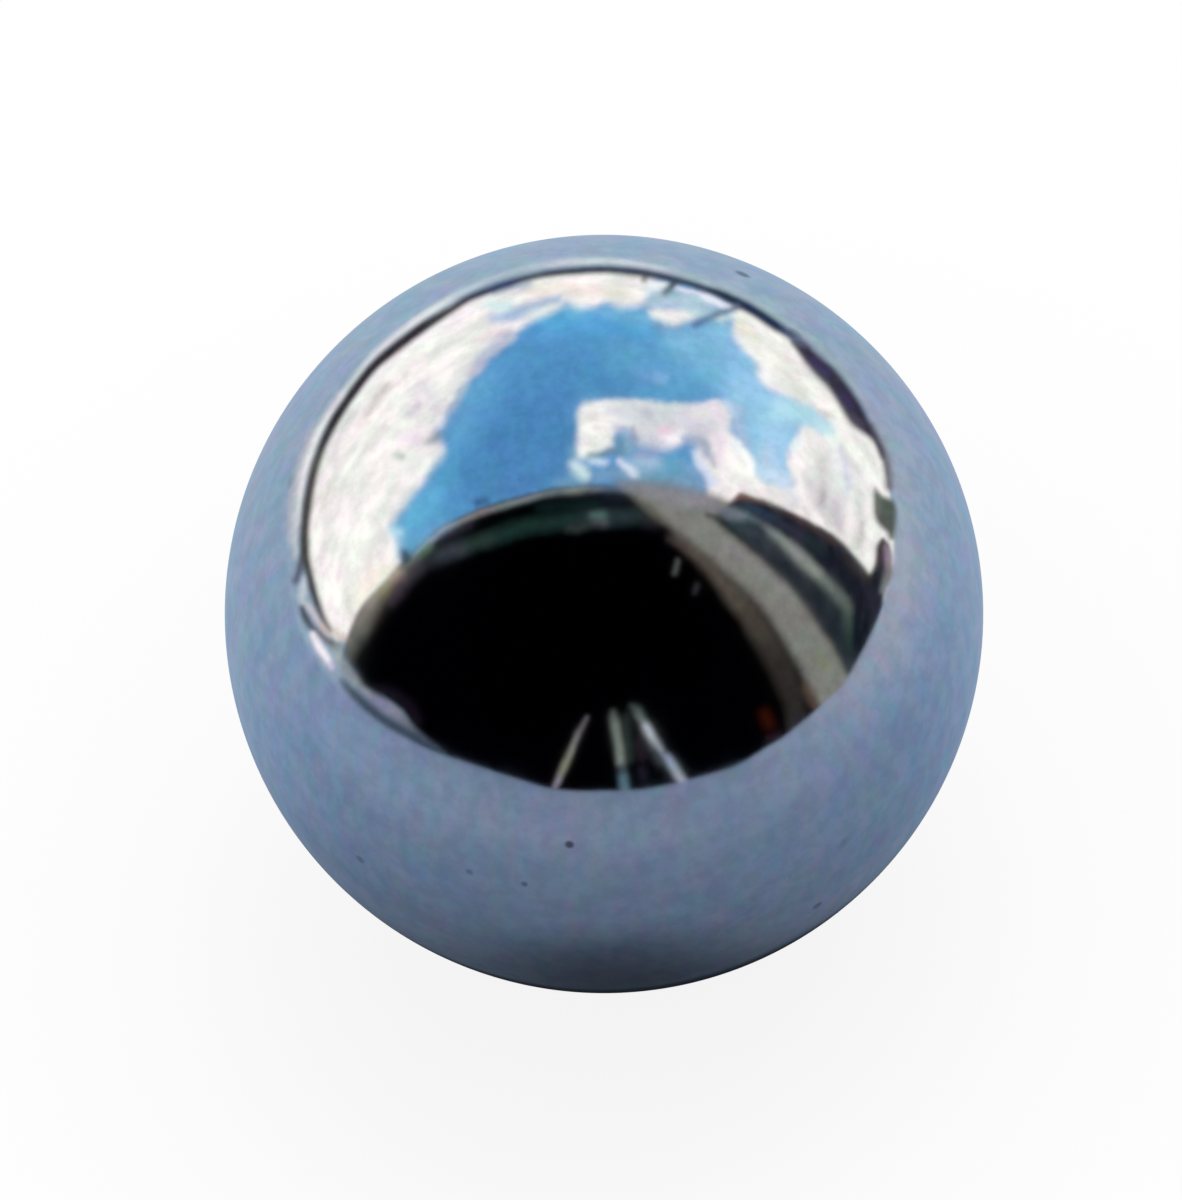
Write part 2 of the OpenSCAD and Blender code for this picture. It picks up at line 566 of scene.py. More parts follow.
# A stroke is (colour as it shows, edge, strength, path). A point of its path is (across, up, half width),
# and where the colour changes along the stroke it gives the new one too, as red, green and blue.
SKY = (86, 150, 200)
SKY_STROKES = [
    ((86, 164, 214), 9, 1, [(-16, 77, 4), (-3, 78, 4), (10, 76, 4)]),
    ((78, 141, 190), 14, 1, [(-20, 62, 6), (-8, 63, 6), (4, 61, 5)]),
    ((74, 133, 184), 12, 1, [(-34, 37, 5), (-24, 45, 9), (-15, 50, 9), (-11, 42, 5)]),
    ((76, 132, 183), 9, 0.9, [(-34, 30, 2), (-25, 34, 4), (-16, 37, 4), (-9, 39, 2)]),
    ((96, 160, 206), 7, 0.9, [(-30, 63, 2), (-36, 55, 2.5), (-38, 48, 2.5)]),
    ((84, 158, 200), 5, 0.8, [(-40, 46, 1.5), (-40, 41, 2), (-41, 35, 2)]),
    ((98, 178, 216), 6, 0.9, [(-45, 31, 2.5), (-49, 26, 3), (-52, 21, 3)]),
    ((104, 166, 206), 4, 0.9, [(-52, 18, 1), (-47, 20.5, 1.5), (-42, 24, 1)]),
    ((96, 162, 202), 10, 0.8, [(6, 68, 5), (16, 64, 5), (22, 59, 3)]),
    ((120, 183, 217), 9, 0.9, [(18, 72, 3), (26, 68, 5), (33, 61, 5)]),
    ((126, 184, 216), 8, 0.9, [(22, 73, 3), (29, 73, 4), (33, 70, 4)]),
    ((136, 190, 226), 8, 1, [(33, 72, 3), (37, 65, 5), (39, 58, 6)]),
    ((150, 200, 233), 7, 1, [(37, 58, 5), (42, 53, 7), (45, 46, 7), (44.5, 40, 5.5)]),
    ((164, 206, 234), 5, 0.8, [(43, 50, 2), (45.5, 44, 2.5), (45, 38, 2)]),
    ((178, 219, 236), 6, 1, [(47, 54, 3), (54, 52.5, 3.5), (60, 49, 3)]),
    ((186, 208, 232), 5, 0.9, [(42.5, 43, 1.5), (42.5, 39, 2)]),
    ((200, 218, 242), 5, 1, [(44, 37, 2), (48, 35, 3)]),
    ((92, 156, 188), 5, 0.9, [(16, 39, 3), (20, 37, 2.5)]),
    ((132, 170, 204), 4, 0.8, [(20, 39.6, 0.8), (24, 37.4, 1.2)]),
    ((84, 124, 172), 3, 0.9, [(0.6, 38.6, 0.8), (2.8, 37.4, 1.1)]),
    ((120, 160, 186), 5, 0.9, [(-12, 34.4, 0.6), (-4, 36, 1.2), (3, 36.5, 1.2), (12, 36, 1.2),
        (25, 34.5, 1.8)]),
    ((112, 160, 180), 3, 0.7, [(-8.6, 44, 0.5), (-8.4, 41.8, 0.5)]),
    ((116, 166, 214), 3.5, 0.8, [(9.5, 63, 0.5), (13, 62.8, 0.8)]),
    ((144, 190, 232), 3.5, 0.8, [(13.6, 62.6, 0.5), (15.8, 62.1, 0.9)]),
    ((150, 182, 214), 4, 0.9, [(34, 56, 0.6), (35.6, 53, 1.4), (35.6, 49.5, 1.4), (38, 46.5, 1)]),
    ((176, 202, 216), 4, 0.9, [(10.5, 83.5, 1.5), (13, 82.5, 1.8), (18, 83.5, 1.8), (26, 80.5, 2),
        (31, 77.3, 1.2)]),
    ((218, 230, 236), 3, 0.9, [(12.6, 87.6, 1), (13.6, 85.6, 1.2), (16, 86.6, 0.8)]),
    ((190, 206, 228), 3, 0.9, [(15.5, 82.7, 0.8), (21, 82.3, 1)]),
    ((214, 226, 230), 3, 0.85, [(27.5, 82.8, 0.8), (31.5, 81.4, 0.9)]),
    ((122, 182, 214), 5, 0.8, [(-9, 79.6, 0.6), (-2, 80.2, 1), (5, 79.2, 1.4), (11, 77.5, 1.2)]),
    ((200, 232, 234), 2.5, 0.8, [(24, 79.6, 0.7), (26.5, 78.7, 0.6)]),
    ((226, 238, 242), 2, 0.8, [(30.5, 77.6, 0.5), (34, 78.8, 0.7)]),
]

CLOUD, CLOUD_STREAK = (252, 250, 245), (232, 230, 228)
CLOUD_LEFT = [
    (-84, 10), (-84, 30), (-78, 50), (-66, 66), (-52, 79), (-36, 88), (-20, 93), (0, 94), (14, 91), (12, 87),
    (11.3, 84.5), (10.4, 82.4), (7.5, 81), (4.5, 81), (1.5, 82.3), (-1.5, 82), (-4.5, 81), (-7.5, 81.2),
    (-9.8, 81.8), (-12, 80.7), (-15, 79.2), (-18, 77.8), (-20.7, 76.3), (-22.7, 74.6), (-24.3, 72.7),
    (-27, 70.8), (-30, 68.8), (-32.8, 66), (-36, 61.9), (-38.9, 57.7), (-40.9, 53.7), (-43, 50.2),
    (-44.6, 48), (-44.1, 46.2), (-42.8, 44.5), (-43.1, 42), (-44.8, 39.4), (-46.7, 36.7), (-49.2, 33.4),
    (-52, 29.6), (-54.4, 26), (-56.4, 22.6), (-62, 16)
]
CLOUD_LOW = [
    (-66, 24), (-58, 23.4), (-56.2, 21.6), (-55.1, 19.6), (-54.3, 17), (-53.9, 13.5), (-54, 11), (-58, 4),
    (-64, -10), (-72, -8), (-78, 0), (-82, 12), (-82, 22)
]
CLOUD_MIDDLE = [
    (-7.1, 43.5), (-7.4, 47), (-7.1, 50.5), (-6.5, 53.6), (-4.6, 55.3), (-1, 55.7), (2, 56.3), (6, 56.3),
    (10, 55.8), (14, 55.5), (18, 55.2), (22, 55.2), (26, 55.6), (29.5, 55.8), (32.3, 55), (33.5, 53),
    (33, 50.5), (33.2, 48.6), (34.4, 46.8), (36.5, 45.2), (38.2, 43), (39.7, 40.5), (40.5, 37.5), (42.5, 35),
    (46, 33.5), (52, 30), (40, 26), (28, 28), (27.6, 33), (26.6, 36), (25, 38.8), (24, 41.5), (25, 43.8),
    (23.8, 46), (22, 47), (21, 45.4), (19, 44.4), (16.5, 43.8), (13, 43.5), (10.5, 44.2), (8.6, 45.6),
    (7, 48), (5, 49.2), (3, 48), (2.6, 45.6), (1.5, 43.7), (-1, 43), (-3.2, 41.6), (-5.2, 40.7), (-7, 41.5)
]
CLOUD_RIGHT = [
    (34, 79), (34, 76), (34.5, 73), (36.5, 70), (39.5, 67.3), (40.5, 64.8), (40.6, 62.2), (42, 60.4),
    (45, 58.9), (48.5, 57.1), (51.5, 55.7), (54.5, 54.6), (57, 53.2), (59, 51.3), (60.5, 49), (57.8, 47.6),
    (55.5, 49.3), (53, 49.6), (51, 48), (49.9, 45.5), (49.3, 42.5), (48.9, 40), (49.4, 37), (50.4, 34.6),
    (48.6, 32.4), (46, 30), (50, 24), (60, 14), (72, 2), (82, 20), (80, 50), (66, 68), (48, 82), (36, 86)
]
CLOUD_SMALL = [
    (12.3, 79.7), (13, 78), (15, 76.8), (18.5, 76), (21.5, 77), (24, 78.3), (23, 79.6), (19.5, 80.2),
    (15, 80.4)
]
CLOUD_STROKES = [
    # left
    ((250, 248, 250), 3, 0.8, [(-73, 44, 0.8), (-70, 50, 1), (-66, 56, 1), (-58, 64.5, 1), (-50, 71, 1),
        (-40, 77.5, 1.2), (-32, 81, 1)]),
    ((200, 200, 190), 3, 0.9, [(-63, 52.5, 0.5), (-60, 56.5, 1), (-57.5, 60, 0.8)]),
    ((228, 216, 214), 3, 0.7, [(-65, 50, 1), (-62, 50.5, 1)]),
    ((190, 186, 200), 4, 0.8, [(-51.5, 52.8, 1), (-49, 55.5, 1.2)]),
    ((218, 214, 222), 4, 0.8, [(-50, 58, 1), (-47, 60, 1.5), (-44, 54, 1.5)]),
    ((222, 222, 224), 4, 0.8, [(-46, 50, 1), (-43.5, 54, 1), (-40, 59.5, 1), (-37, 63, 1)]),
    ((206, 204, 206), 4, 0.7, [(-72, 40, 1), (-70.3, 46, 1.3), (-67, 52.5, 1)]),
    ((216, 214, 200), 3, 0.8, [(-74, 29, 0.6), (-72, 33, 1)]),
    ((158, 162, 164), 2.4, 0.95, [(-55.2, 42, 0.5), (-53.6, 41.7, 0.8)]),
    ((128, 142, 142), 2.6, 0.9, [(-46.4, 45, 0.6), (-45, 46, 1), (-43.6, 47.2, 0.8)]),
    ((166, 184, 200), 2.8, 0.9, [(-40.8, 53, 0.6), (-38.4, 57.4, 1), (-36.2, 60.6, 0.8)]),
    ((236, 224, 236), 4, 0.7, [(-54, 47, 1.5), (-50, 45.5, 1.5)]),
    ((228, 210, 214), 3, 0.8, [(-34, 71.5, 0.8), (-29, 73.5, 0.8), (-25.5, 74, 0.5)]),
    ((182, 188, 208), 3, 0.9, [(-35.5, 63.4, 1), (-31.5, 67.8, 1.6), (-28, 71, 1.6), (-25, 73.6, 1.4)]),
    ((168, 194, 226), 3, 0.9, [(-29.3, 78.2, 1.2), (-26, 78.7, 1.6), (-22, 79, 1)]),
    ((200, 228, 236), 2.5, 0.9, [(-31, 81.3, 0.8), (-25, 81.8, 1)]),
    ((156, 186, 212), 2.5, 0.9, [(-26, 78.7, 0.8), (-21, 80.2, 1.1), (-16, 82.1, 1.1), (-12, 83, 1)]),
    ((234, 222, 212), 3, 0.8, [(-20, 84.5, 0.8), (-12, 86, 1), (-4, 85.3, 1.2), (3, 85.2, 1),
        (7, 83.6, 0.8)]),
    ((156, 178, 200), 2.5, 0.8, [(-29, 84.6, 0.6), (-25, 85.8, 0.8), (-20, 87, 0.8)]),
    # low, at the left
    ((180, 222, 236), 2.5, 0.9, [(-56, 22.3, 1), (-54.2, 21, 1.4)]),
    ((150, 198, 222), 2.5, 0.8, [(-53.5, 19, 0.6), (-52.8, 17.5, 0.5)]),
    ((214, 216, 204), 3, 0.8, [(-68.3, 6, 0.6), (-67, 2, 1), (-66, -2, 0.8)]),
    ((250, 240, 222), 5, 0.7, [(-64, 4, 1.5), (-61.5, 9.5, 2), (-57, 12.5, 1.5)]),
    ((214, 186, 184), 2.5, 0.9, [(-70.4, -4.5, 0.7), (-68.6, -6.8, 1.1)]),
    # middle
    ((211, 214, 221), 4, 1, [(2, 53.5, 1.5), (8, 52.5, 3), (14, 51.5, 3.5), (20, 51.5, 3), (26, 51.5, 3.5),
        (31, 51, 2)]),
    ((196, 190, 206), 3, 0.9, [(10.8, 53.2, 0.7), (12.4, 52, 0.9)]),
    ((178, 178, 202), 3, 0.9, [(2.8, 49.3, 0.7), (4.6, 48.8, 0.8)]),
    ((180, 188, 204), 4, 0.8, [(8.5, 46.8, 1), (12, 46.2, 1.5), (15.5, 45.6, 1)]),
    ((160, 176, 200), 3, 0.9, [(22.5, 47, 0.8), (25.5, 45.5, 1.3), (27.2, 42.5, 1)]),
    ((150, 184, 206), 2.6, 0.9, [(5.4, 48.6, 0.5), (6.2, 45, 1), (6.4, 43, 0.8)]),
    ((98, 138, 166), 2.8, 1, [(3.6, 46.6, 0.7), (4.4, 44, 1.3), (5, 42.6, 1)]),
    ((140, 146, 176), 2.6, 1, [(7.4, 48.6, 0.6), (8, 46.2, 1)]),
    ((166, 178, 208), 3, 0.9, [(9.5, 44.4, 0.8), (13, 44, 0.8), (16.5, 43.6, 0.5)]),
    ((124, 146, 192), 3.5, 0.9, [(9, 42.2, 0.9), (13, 42, 0.9)]),
    ((240, 212, 226), 3, 0.9, [(15.2, 48.6, 0.9), (17.6, 48.4, 0.9)]),
    ((250, 253, 252), 2.6, 1, [(17, 46, 0.6), (19.6, 47, 1), (20.2, 48.4, 0.5)]),
    ((226, 228, 216), 3, 0.8, [(23, 52.6, 0.8), (27, 52.8, 1)]),
    ((206, 206, 218), 3.5, 1, [(21.6, 49.6, 0.6), (24.5, 48.6, 1.1), (27, 48, 0.8)]),
    ((150, 168, 198), 3, 1, [(21.5, 46.6, 0.6), (23.4, 45.6, 1)]),
    ((156, 170, 186), 3, 1, [(25, 46.3, 0.7), (27, 44.4, 1.1), (28.2, 41.4, 0.8), (29, 39.2, 0.4)]),
    ((216, 235, 238), 3, 0.95, [(-8.2, 39.7, 0.9), (-6.6, 38, 1.6), (-5, 36.6, 1.3)]),
    ((210, 226, 244), 2.6, 0.95, [(-3.2, 40.1, 0.7), (-0.2, 40.2, 0.8)]),
    ((104, 118, 120), 2.2, 0.95, [(-4, 41.6, 0.4), (-1, 42.2, 0.5), (2.2, 43, 0.6)]),
    ((168, 190, 216), 4.5, 0.95, [(8.5, 41, 1.1), (11, 39.9, 2), (14, 39.6, 1.1)]),
    ((230, 234, 250), 2.4, 1, [(4.1, 40.3, 0.9), (6.3, 38.5, 1.1), (8.4, 36.7, 1)]),
    ((190, 212, 240), 2.6, 0.9, [(23.8, 42.4, 0.4), (25.6, 39.6, 0.5), (27.4, 36.4, 0.7), (28.6, 34, 0.5)]),
    ((236, 228, 236), 4, 0.9, [(29.6, 54.6, 1), (31, 50, 1.6), (30.6, 44, 1.4), (31, 40, 1)]),
    ((244, 246, 240), 3, 0.8, [(33, 46, 0.8), (34, 42, 1.2), (33, 37, 1.2)]),
    ((236, 252, 252), 2.6, 1, [(34.6, 45.6, 0.6), (35.8, 44, 0.8)]),
    ((254, 254, 254), 2.6, 1, [(37, 42.5, 0.5), (38.8, 40, 0.9), (39.4, 37.5, 0.6)]),
    ((196, 208, 236), 3, 0.7, [(31, 55.8, 0.4), (33.2, 54.8, 0.7), (34, 52, 0.4)]),
    # right
    ((206, 210, 214), 9, 0.5, [(56, 35, 3), (61, 30, 4.5), (65.5, 36, 3.5), (67, 28, 2.5), (67.5, 20, 2)]),
    ((190, 190, 190), 6, 0.6, [(50.5, 28.5, 1), (56, 28, 2.2), (61, 25.5, 2.4), (64.5, 21, 1.8),
        (66.5, 17, 0.8)]),
    ((174, 194, 222), 3.6, 0.85, [(34.6, 54, 0.7), (35.3, 50, 1), (36.4, 47.2, 0.7), (39, 44.6, 0.4)]),
    ((222, 238, 240), 3, 0.8, [(49.5, 43, 0.6), (51, 45.5, 1)]),
    ((255, 253, 248), 2.5, 0.95, [(49.7, 40, 0.6), (51.5, 38.8, 1)]),
    ((206, 218, 220), 3, 0.8, [(48.5, 32, 1.2), (51, 29.8, 1.3)]),
    ((250, 250, 244), 3, 0.8, [(52.3, 35, 0.6), (52.3, 30, 0.8), (57, 24.5, 0.4)]),
    ((208, 206, 206), 4, 0.95, [(57.5, 40, 0.8), (57.5, 36, 1.6), (57.5, 30, 1.6), (60, 26, 1.2)]),
    ((172, 168, 172), 3, 0.85, [(57.2, 31.6, 0.8), (57.6, 29, 0.9)]),
    ((232, 242, 240), 2.5, 0.9, [(60, 44, 0.5), (61, 39, 0.7), (61.5, 34.5, 0.5)]),
    ((202, 210, 226), 3, 0.9, [(62.6, 44, 0.6), (64, 38, 1), (64, 33, 0.8)]),
    ((204, 196, 206), 3, 0.9, [(60.8, 29.5, 0.6), (61, 25, 0.8), (62, 22.5, 0.4)]),
    ((204, 212, 204), 2.5, 0.9, [(67.4, 31.5, 0.7), (67.5, 27, 0.8)]),
    ((190, 196, 184), 2.5, 0.95, [(67.8, 24, 0.6), (67.6, 19.5, 0.8), (67.2, 17.5, 0.5)]),
    ((250, 244, 240), 3, 0.8, [(64.5, 25, 0.6), (64.3, 20, 0.6)]),
    ((252, 251, 246), 3, 0.8, [(69.8, 30, 0.6), (70.5, 23, 1), (69.5, 15, 0.8)]),
    ((190, 226, 232), 4, 0.9, [(56.5, 50.5, 0.8), (60, 47.7, 1.2)]),
    ((208, 200, 196), 2.5, 0.9, [(57.3, 53.3, 0.4), (59.5, 52, 0.9), (61, 51, 0.4)]),
    ((214, 214, 206), 3, 0.9, [(45, 64.8, 0.5), (49, 62.3, 0.8), (53, 58, 0.6)]),
    ((252, 252, 254), 3, 0.9, [(42.2, 63.5, 0.7), (43.5, 61.8, 0.8)]),
    ((220, 220, 210), 3, 0.8, [(43.5, 70.5, 0.5), (47, 67.5, 0.6), (51, 64, 0.5)]),
    ((230, 232, 208), 3, 0.8, [(35.5, 77, 0.8), (38, 74, 1.1), (40, 72.5, 0.6)]),
    # top
    ((128, 154, 178), 3, 0.6, [(12.5, 77, 0.2), (15.5, 75.3, 0.4), (20, 75.4, 0.3)]),
    ((244, 248, 248), 2, 0.95, [(11.8, 86, 0.7), (14, 87, 0.9), (16.3, 87.2, 0.5)]),
    ((236, 238, 250), 2, 0.95, [(19, 86, 0.6), (24, 84.9, 0.7), (29, 82.8, 1), (33.3, 81, 0.9)]),
    ((206, 224, 232), 2.5, 0.8, [(21, 84.2, 0.3), (25, 82.8, 0.6)]),
]

# What lies on the ground between the mat and the skyline
GROUND = (142, 162, 184)
GROUND_STROKES = [
    ((150, 172, 190), 4, 1, [(-50, 80, 3), (-25, 91, 3), (0, 94.5, 3), (25, 90, 3), (45, 81, 3)]),
    ((168, 172, 182), 4, 0.9, [(-83, 20, 0.5), (-82.5, 30, 0.8), (-80.5, 40, 0.8), (-77, 48, 0.8)]),
    ((196, 202, 206), 3, 0.9, [(-81.3, 15, 0.5), (-81.5, 22, 1), (-81, 28, 1.2), (-80, 34, 1.4),
        (-78.4, 40, 1.4), (-76.2, 46, 1.4), (-73.3, 51.5, 1.2), (-69.5, 57, 1.1)]),
    ((234, 234, 236), 2.2, 0.9, [(-80.4, 24, 0.3), (-80, 32, 0.5), (-78.8, 38, 0.8), (-76.9, 43.5, 0.9),
        (-74.7, 48.5, 0.8), (-72, 53, 0.6), (-68.5, 58, 0.6)]),
    ((222, 226, 230), 2.5, 0.95, [(-69, 57.5, 0.8), (-64.3, 63.6, 0.9), (-59.3, 69.3, 1), (-53.8, 74, 1.1),
        (-48, 78.4, 1.1), (-42, 82.2, 0.9), (-37, 85, 0.7, 190, 204, 214), (-30, 88.2, 0.6, 178, 196, 206),
        (-20, 91.3, 0.6), (-10, 92.7, 0.8, 204, 212, 220), (0, 93.1, 0.8), (9, 92.2, 0.8),
        (16, 90.8, 0.7, 192, 200, 212), (22, 89.3, 0.6, 168, 188, 196), (38, 83, 0.7),
        (52, 74.3, 0.6, 156, 178, 184), (58, 69.3, 0.8), (64, 63, 0.9), (68.5, 56.5, 0.7, 156, 166, 184),
        (72, 50, 0.9), (75, 43, 0.8, 152, 160, 172), (76.5, 36, 1.2), (78, 30, 0.7, 160, 168, 184),
        (78.2, 22, 0.8), (77.6, 15, 0.7), (76.8, 8, 0.7)]),
    # bottom left
    ((78, 84, 100), 2.2, 0.9, [(-79.7, 15, 0.7), (-80.2, 12, 0.9), (-81.3, 8.7, 0.9)]),
    ((184, 200, 206), 2, 1, [(-78.8, 9.5, 0.6), (-79.4, 6, 1.1), (-79.5, 3.6, 0.9),
        (-77.6, 1.5, 0.8, 198, 194, 202), (-75.8, -1, 0.8), (-74.2, -3.2, 0.8, 212, 188, 184),
        (-72.6, -5.3, 0.8)]),
    ((72, 78, 90), 1.8, 1, [(-79.7, 1.6, 0.6), (-78.6, -1, 0.9), (-77.2, -3.3, 0.8),
        (-75.4, -4.8, 0.5, 100, 92, 90), (-73.6, -6.5, 0.5), (-71.4, -8, 0.8)]),
    ((244, 242, 246), 1.8, 1, [(-76.8, -5.4, 0.7), (-75.1, -8.6, 1), (-73.2, -11.6, 0.9),
        (-72.3, -13.2, 0.7, 212, 200, 224), (-71.9, -14.2, 0.6)]),
    ((130, 132, 130), 2.2, 1, [(-70.5, -8.6, 0.9), (-70.3, -11, 1, 160, 176, 174),
        (-69, -13, 1.1, 142, 146, 152), (-66.5, -16.3, 1.2), (-63, -19.4, 1.2),
        (-59, -23.2, 1.4, 128, 130, 158), (-56, -25.4, 1.4, 126, 130, 148),
        (-52.5, -28.4, 1.3, 116, 122, 134), (-49.8, -30.7, 1.1, 106, 110, 126),
        (-46.5, -33, 0.9, 84, 88, 102), (-43, -35.4, 0.4)]),
    ((62, 76, 90), 2.6, 1, [(-69, -17.8, 0.7), (-66.3, -20.8, 1.4), (-63.6, -23.4, 1.6, 50, 64, 80),
        (-60.8, -25.9, 1.6), (-57.6, -28.3, 1.6), (-54, -30.4, 1.6), (-50.5, -32.5, 1.6), (-47, -34.6, 1.6),
        (-44, -36.4, 1.5), (-41, -37.8, 1.2, 52, 70, 94), (-38, -39, 1, 40, 56, 80)]),
]

SKYLINE_STROKES = [
    ((104, 96, 98), 2, 1, [(-72.2, -4, 0.5), (-74, -1.2, 0.7, 84, 80, 84), (-75.6, 2.6, 0.9, 64, 62, 66),
        (-76.9, 7, 1), (-78, 11.5, 1.1, 58, 56, 54), (-78.8, 15.5, 1.2), (-79, 19, 1.3), (-78.8, 24, 1.2),
        (-78.1, 29.5, 1.3), (-77.1, 35, 1.2), (-75.8, 40, 1.2), (-74, 45, 1.2, 44, 40, 48), (-71.6, 50, 1.3),
        (-68.5, 55, 1.3), (-65, 60, 1.3), (-60.7, 65.3, 1.3), (-55.4, 69.9, 1.4), (-50.3, 73.8, 1.4),
        (-45.8, 76.9, 1.3, 52, 50, 56), (-40.3, 80.3, 1, 62, 60, 68), (-35.5, 83.3, 1, 54, 60, 78),
        (-28.5, 86, 1.1, 40, 54, 92), (-24.5, 87.3, 1.1), (-21, 88.4, 0.9, 48, 56, 76), (-15, 89.7, 1),
        (-8, 90.4, 1), (0, 90.8, 1), (8, 90.2, 1.1), (14, 89.2, 1), (19, 88, 0.9), (23, 87, 0.8),
        (27, 85.6, 0.9), (31, 84.2, 1.2, 36, 48, 66), (36, 81.8, 1.4, 34, 46, 76), (40, 79.6, 1.4),
        (45, 76.2, 1.4), (48, 74.3, 1.2, 60, 76, 104), (51, 72, 1.2, 88, 106, 126), (53.5, 70, 1)]),
    ((66, 68, 76), 2, 1, [(18.8, 87.6, 0.7), (17.8, 86.4, 0.8), (16.1, 84.8, 0.8)]),
    ((58, 64, 72), 2, 0.95, [(10.9, 89.4, 0.7), (10.6, 88.1, 0.7)]),
    ((78, 104, 147), 2.2, 1, [(24, 76.2, 0.8), (27, 77.8, 0.8), (30, 79.1, 0.7, 94, 108, 133), (33, 80, 0.6),
        (35, 81, 0.8)]),
    ((100, 98, 102), 2.5, 0.95, [(70.5, 49.5, 0.5), (72.8, 45, 0.7), (74.3, 40, 0.9), (74.9, 36, 1),
        (75.1, 33.5, 0.9)]),
]
WOODS = [
    (49.5, 71.8), (52, 71.8), (54.9, 69.9), (57.8, 67.3), (61, 64.6), (63.6, 61.4), (66, 58), (68, 54.8),
    (69.8, 51.3), (71.4, 48), (73, 44.5), (73.8, 42), (73.3, 41), (72, 43.5), (70.5, 46), (68.5, 47.5),
    (66.5, 48.8), (64.8, 50.3), (63.4, 52.4), (62, 54.8), (60.5, 57.4), (58.8, 59.8), (56.4, 62.2),
    (54, 64.9), (52.1, 67.4), (50.5, 69.8)
]
WOODS_STROKES = [
    ((60, 50, 96), 3, 0.9, [(54.5, 67, 0.6), (58.5, 63.8, 0.9)]),
    ((58, 50, 92), 3, 0.9, [(62.8, 58, 0.6), (65, 55, 0.8)]),
    ((78, 70, 90), 3, 0.7, [(65.5, 52, 0.6), (68, 50, 0.7)]),
    ((104, 104, 126), 3, 0.8, [(50.4, 71.4, 0.6), (52.8, 71, 0.5)]),
]
BLOCK = [
    (71.4, 33), (73.2, 31.4), (75.8, 30.2), (77, 28.2), (77, 24), (76.6, 20), (75.3, 19.8), (74.6, 21.5),
    (72.8, 23.2), (71.5, 25.4), (71.2, 28.5)
]
BLOCK_STROKES = [
    ((112, 118, 104), 2, 0.8, [(72.4, 31, 0.4), (72.6, 27, 0.5)]),
    ((48, 90, 130), 2.4, 1, [(-33.4, 29.4, 0.8), (-31.2, 29.9, 0.8)]),
]


def make_backdrop():
    """The sky and its clouds, the ground beyond the mat, and the dark line of far woods between them."""
    sheet = Canvas(-88, 84, -40, 97, wobble=0.7, ground=SKY)
    sheet.brush_all(SKY_STROKES)
    clouds = (CLOUD_LEFT, 3.6), (CLOUD_LOW, 2.6), (CLOUD_MIDDLE, 2.8), (CLOUD_RIGHT, 3), (CLOUD_SMALL, 3.2)
    for outline, edge in clouds:
        sheet.fill(outline, CLOUD, edge=edge, streak=CLOUD_STREAK)
    sheet.brush_all(CLOUD_STROKES)
    sheet.frayed = sheet.places
    sheet.fill(SKYLINE, GROUND, edge=1.2, outside=True)
    sheet.brush_all(GROUND_STROKES + SKYLINE_STROKES)
    sheet.fill(WOODS, (46, 40, 60), edge=2)
    sheet.brush_all(WOODS_STROKES)
    sheet.fill(BLOCK, (84, 90, 86), edge=2)
    sheet.brush_all(BLOCK_STROKES)
    sheet.hang("backdrop", 1)


CANOPY = [
    (-67.5, -12.8), (-68.7, -10.5), (-68.2, -8), (-67, -5), (-66, -2.3), (-64.8, 0.5), (-62.8, 3), (-61, 5),
    (-59.1, 7.2), (-57, 9.4), (-54.6, 12.3), (-51.7, 15.1), (-47.7, 18.8), (-45.6, 20.9), (-42.6, 23.2),
    (-40.4, 24.3), (-37.4, 25.9), (-34.3, 27.2), (-31.3, 28.4), (-28.2, 29.4), (-25.2, 30.2), (-21.2, 31.3),
    (-18, 32), (-15, 32.8), (-10, 33.5), (-5, 34), (0, 34), (3, 33.6), (6, 32.6), (9, 31.8), (15, 31.2),
    (20, 30.8), (25, 30.2), (29, 29.4), (31.5, 29), (33.4, 29.5), (34.8, 30.6), (36.2, 31.5), (38.5, 30.8),
    (42, 29.4), (46, 27.8), (50, 26.2), (54, 24.5), (58, 22.3), (61, 20.5), (63.4, 18.3), (65.6, 15.8),
    (67.7, 13.2), (69.2, 11.2), (70, 10.7), (71, 12), (71.6, 15), (72.1, 18.2), (73.3, 19.7), (74.9, 18.2),
    (75.3, 16), (75.6, 12.5), (75, 9), (73.9, 5.5), (73.2, 2), (71.5, -8), (66, -22), (54, -36), (38, -44),
    (20, -50), (0, -51), (-25, -47), (-38, -41.5), (-41.5, -37.4), (-44.5, -34.6), (-47.5, -32.2),
    (-50, -30), (-51.6, -28), (-53.6, -25.4), (-56.7, -23), (-60, -21.4), (-63.4, -19.2), (-65.7, -15.7)
]
